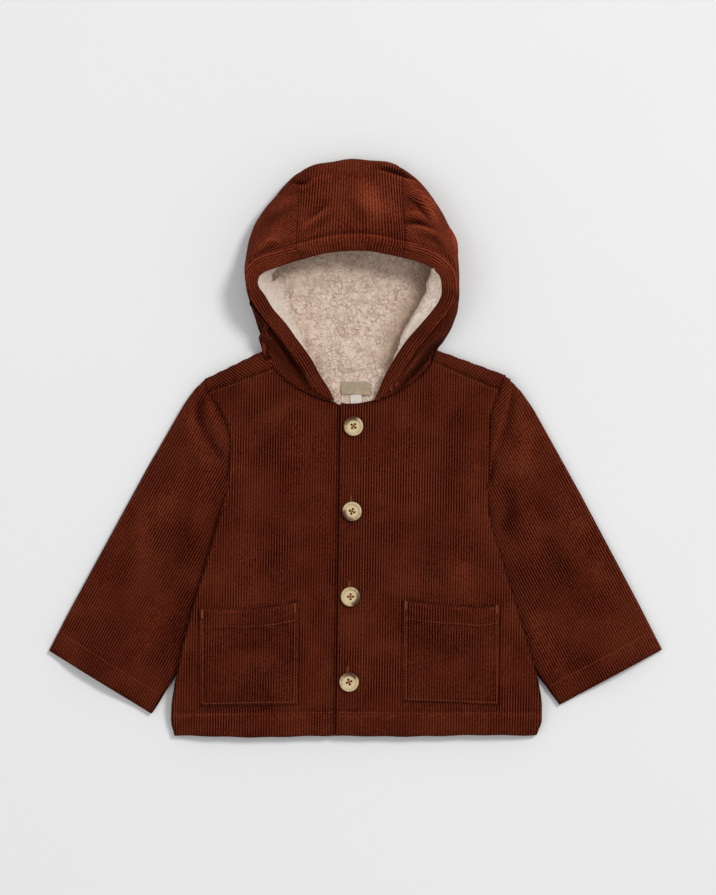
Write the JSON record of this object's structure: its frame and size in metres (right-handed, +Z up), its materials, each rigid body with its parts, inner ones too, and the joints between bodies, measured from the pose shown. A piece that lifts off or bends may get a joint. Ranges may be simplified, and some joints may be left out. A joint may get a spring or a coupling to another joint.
{
  "type": "baby's hooded corduroy coat laid flat",
  "caption": "Baby's hooded corduroy coat, buttoned and laid flat front up, with flat sleeves, patch pockets and a fleece-lined hood that stands open.",
  "frame": {"origin": "on the surface that the coat lies on, at the middle of the back panel's flat underside", "axes": "+Z up from that surface, through the back to the front; +Y from the hem towards the hood; +X to the right as seen from above"},
  "size_m": [0.542, 0.5113, 0.042],
  "materials": {
    "corduroy": "rust-brown wale corduroy, about 11 wales to the inch",
    "pile_lining": "cream curled pile",
    "label": "woven, bare",
    "tag": "woven, bare",
    "button": "polished, streaked like horn"
  },
  "bodies": {
    "root": {"back": "corduroy", "front_left": "corduroy", "front_right": "corduroy", "sleeve_left": "corduroy", "sleeve_right": "corduroy", "pocket_left": "corduroy", "pocket_right": "corduroy", "hood_side_left": "corduroy", "hood_centre": "corduroy", "hood_side_right": "corduroy", "hood_lining": "pile_lining", "back_lining": "pile_lining", "neck_label": "label", "size_tag": "tag", "button_1": "button", "button_2": "button", "button_3": "button", "button_4": "button"}
  },
  "joints": []
}
